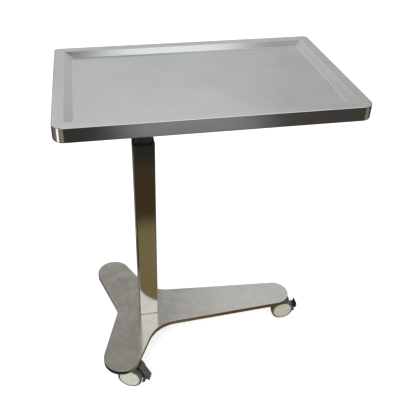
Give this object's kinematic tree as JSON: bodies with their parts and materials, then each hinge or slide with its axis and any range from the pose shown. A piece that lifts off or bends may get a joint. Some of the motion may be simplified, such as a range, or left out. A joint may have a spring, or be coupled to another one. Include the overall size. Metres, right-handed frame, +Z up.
{
  "type": "instrument cart",
  "caption": "Height-adjustable stainless instrument cart with a recessed tray on a square telescoping column, a Y-shaped base and braked twin-wheel casters.",
  "frame": {"origin": "on the floor, under the centre of the tray", "axes": "+X towards the long leg of the base, along the tray's length; +Y to the back of the tray; +Z up"},
  "size_m": [0.75, 0.483, 0.931],
  "materials": {
    "stainless": "satin stainless sheet and tube, faint grain",
    "painted_steel": "dark grey paint",
    "zinc_steel": "bright zinc plate",
    "chromed_rod": "ground and chromed",
    "black_enamel": "gloss black enamel",
    "black_plastic": "fine moulded grain",
    "caster_plastic": "moulded, matt",
    "pedal_plastic": "moulded, matt",
    "grey_rubber": "dull, lightly dusty",
    "cream_plastic": "smooth moulded, semi-gloss"
  },
  "bodies": {
    "base": {"base_shell": "stainless", "base_frame": "painted_steel", "column_weld": "stainless", "outer_column": "stainless", "guide_cap": "black_plastic", "stand_bolt": "zinc_steel", "spring_stand": "painted_steel", "spring_cylinder": "black_enamel", "spring_gland": "zinc_steel", "caster_sockets": "painted_steel", "caster_stems": "zinc_steel"},
    "lift": {"inner_column": "stainless", "lower_guide": "black_plastic", "head_plate": "painted_steel", "cross_channels": "painted_steel", "tray_rails": "painted_steel", "tray_bolts": "zinc_steel", "tray_nuts": "zinc_steel", "tray_pan": "stainless", "spring_rod": "chromed_rod", "spring_head": "painted_steel", "spring_nut": "zinc_steel", "lever_bracket": "painted_steel", "lever_pin": "zinc_steel"},
    "lever": {"release_lever": "zinc_steel", "lever_grip": "black_plastic"},
    "valve": {"valve_pin": "chromed_rod"},
    "caster_front": {"caster_body_front": "caster_plastic", "wheel_axle_front": "zinc_steel", "pedal_pin_front": "zinc_steel"},
    "near_wheel_front": {"near_tyre_front": "grey_rubber", "near_hub_front": "cream_plastic"},
    "far_wheel_front": {"far_tyre_front": "grey_rubber", "far_hub_front": "cream_plastic"},
    "pedal_front": {"brake_pedal_front": "pedal_plastic"},
    "caster_back": {"caster_body_back": "caster_plastic", "wheel_axle_back": "zinc_steel", "pedal_pin_back": "zinc_steel"},
    "near_wheel_back": {"near_tyre_back": "grey_rubber", "near_hub_back": "cream_plastic"},
    "far_wheel_back": {"far_tyre_back": "grey_rubber", "far_hub_back": "cream_plastic"},
    "pedal_back": {"brake_pedal_back": "pedal_plastic"},
    "caster_right": {"caster_body_right": "caster_plastic", "wheel_axle_right": "zinc_steel", "pedal_pin_right": "zinc_steel"},
    "near_wheel_right": {"near_tyre_right": "grey_rubber", "near_hub_right": "cream_plastic"},
    "far_wheel_right": {"far_tyre_right": "grey_rubber", "far_hub_right": "cream_plastic"},
    "pedal_right": {"brake_pedal_right": "pedal_plastic"}
  },
  "joints": [
    {"name": "column_lift", "type": "slide", "parent": "base", "child": "lift", "axis": [0, 0, 1], "range_m": [-0.1, 0.25]},
    {"name": "lever_tilt", "type": "hinge", "parent": "lift", "child": "lever", "pos_m": [-0.153, -0.036, 0.8818], "axis": [-1, 0, 0], "range_deg": [0, 5], "stiffness_Nm_per_rad": 3, "springref_deg": -2.86},
    {"name": "valve_press", "type": "slide", "parent": "lift", "child": "valve", "axis": [0, 0, -1], "range_m": [0, 0.0032]},
    {"name": "swivel_front", "type": "hinge", "parent": "base", "child": "caster_front", "pos_m": [-0.255, -0.1855, 0.084], "axis": [0, 0, 1], "continuous": true},
    {"name": "near_spin_front", "type": "hinge", "parent": "caster_front", "child": "near_wheel_front", "pos_m": [-0.22802, -0.19613, 0.0375], "axis": [0.3665, 0.9304, 0], "continuous": true},
    {"name": "far_spin_front", "type": "hinge", "parent": "caster_front", "child": "far_wheel_front", "pos_m": [-0.22802, -0.19613, 0.0375], "axis": [0.3665, 0.9304, 0], "continuous": true},
    {"name": "brake_front", "type": "hinge", "parent": "caster_front", "child": "pedal_front", "pos_m": [-0.18708, -0.21225, 0.0335], "axis": [0.3665, 0.9304, 0], "range_deg": [0, 8]},
    {"name": "swivel_back", "type": "hinge", "parent": "base", "child": "caster_back", "pos_m": [-0.255, 0.1855, 0.084], "axis": [0, 0, 1], "continuous": true},
    {"name": "near_spin_back", "type": "hinge", "parent": "caster_back", "child": "near_wheel_back", "pos_m": [-0.22802, 0.19613, 0.0375], "axis": [-0.3665, 0.9304, 0], "continuous": true},
    {"name": "far_spin_back", "type": "hinge", "parent": "caster_back", "child": "far_wheel_back", "pos_m": [-0.22802, 0.19613, 0.0375], "axis": [-0.3665, 0.9304, 0], "continuous": true},
    {"name": "brake_back", "type": "hinge", "parent": "caster_back", "child": "pedal_back", "pos_m": [-0.18708, 0.21225, 0.0335], "axis": [-0.3665, 0.9304, 0], "range_deg": [0, 8]},
    {"name": "swivel_right", "type": "hinge", "parent": "base", "child": "caster_right", "pos_m": [0.284, 0, 0.084], "axis": [0, 0, 1], "continuous": true},
    {"name": "near_spin_right", "type": "hinge", "parent": "caster_right", "child": "near_wheel_right", "pos_m": [0.313, 0, 0.0375], "axis": [0, 1, 0], "continuous": true},
    {"name": "far_spin_right", "type": "hinge", "parent": "caster_right", "child": "far_wheel_right", "pos_m": [0.313, 0, 0.0375], "axis": [0, 1, 0], "continuous": true},
    {"name": "brake_right", "type": "hinge", "parent": "caster_right", "child": "pedal_right", "pos_m": [0.357, 0, 0.0335], "axis": [0, 1, 0], "range_deg": [0, 8]}
  ],
  "couplings": [
    {"joint": "valve_press", "follows": "lever_tilt", "m_per_rad": 0.036}
  ]
}
